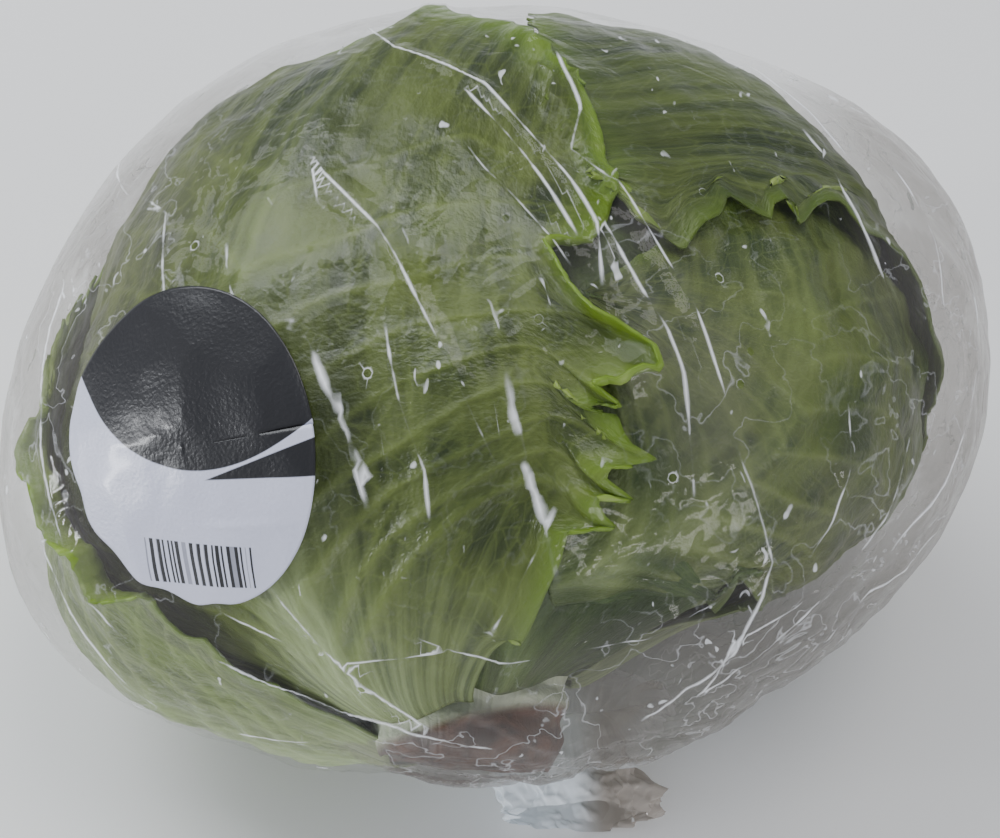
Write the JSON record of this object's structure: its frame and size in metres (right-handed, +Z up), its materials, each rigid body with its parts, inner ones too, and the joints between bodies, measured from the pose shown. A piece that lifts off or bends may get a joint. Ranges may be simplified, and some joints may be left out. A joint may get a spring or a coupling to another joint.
{
  "type": "iceberg lettuce",
  "caption": "Round, tightly folded head of crisp lettuce with its cut stem, lying in a clear perforated bag gathered into a short tail, with a plain oval label",
  "frame": {"origin": "middle of the flat spot that the bag rests on, under the middle of the head", "axes": "+Z up; +X across the head, to the right as seen from the stem; -Y the way the cut stem points"},
  "size_m": [0.1978, 0.1604, 0.1387],
  "materials": {
    "heart": "satin",
    "stem": "satin",
    "leaf": "satin",
    "film": "gloss",
    "label": "gloss"
  },
  "bodies": {
    "root": {"heart": "heart", "stem": "stem", "leaf_underside": "leaf", "leaf_back": "leaf", "leaf_left_back": "leaf", "leaf_inner_front": "leaf", "leaf_right": "leaf", "leaf_front": "leaf", "leaf_left": "leaf", "leaf_top": "leaf", "film_bag": "film", "label": "label"}
  },
  "joints": []
}
